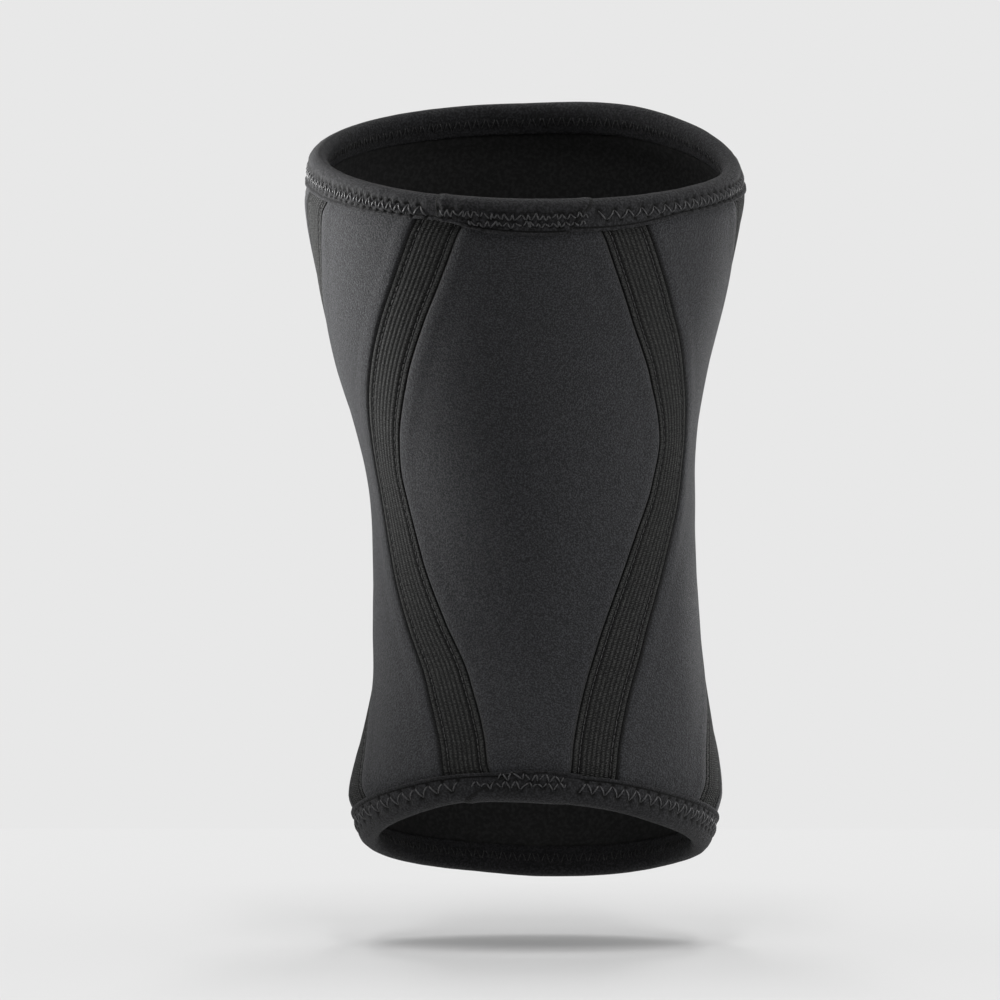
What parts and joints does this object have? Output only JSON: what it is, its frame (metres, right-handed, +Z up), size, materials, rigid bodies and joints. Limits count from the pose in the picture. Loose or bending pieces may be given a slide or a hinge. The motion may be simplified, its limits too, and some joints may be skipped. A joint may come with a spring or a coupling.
{
  "type": "knee sleeve",
  "caption": "Pre-bent tubular knee sleeve of thick neoprene with ribbed tape over its curved seams and a folded, stitched binding round each opening.",
  "frame": {"origin": "centre of the hollow at the knee, on the sleeve's bent centreline", "axes": "+Z up the leg towards the thigh, +Y towards the kneecap, -Y towards the back of the knee, +X to the right seen from behind"},
  "size_m": [0.1642, 0.1474, 0.2971],
  "materials": {
    "neoprene": "closed-cell neoprene faced with fine charcoal jersey",
    "seam_tape": "matt black ribbed elastic tape",
    "binding": "smooth black stretch binding"
  },
  "bodies": {
    "root": {"rear_panel": "neoprene", "side_panel_left": "neoprene", "side_panel_right": "neoprene", "front_panel": "neoprene", "seam_band_rear_left": "seam_tape", "seam_band_rear_right": "seam_tape", "seam_band_front_left": "seam_tape", "seam_band_front_right": "seam_tape", "top_binding": "binding", "bottom_binding": "binding"}
  },
  "joints": []
}
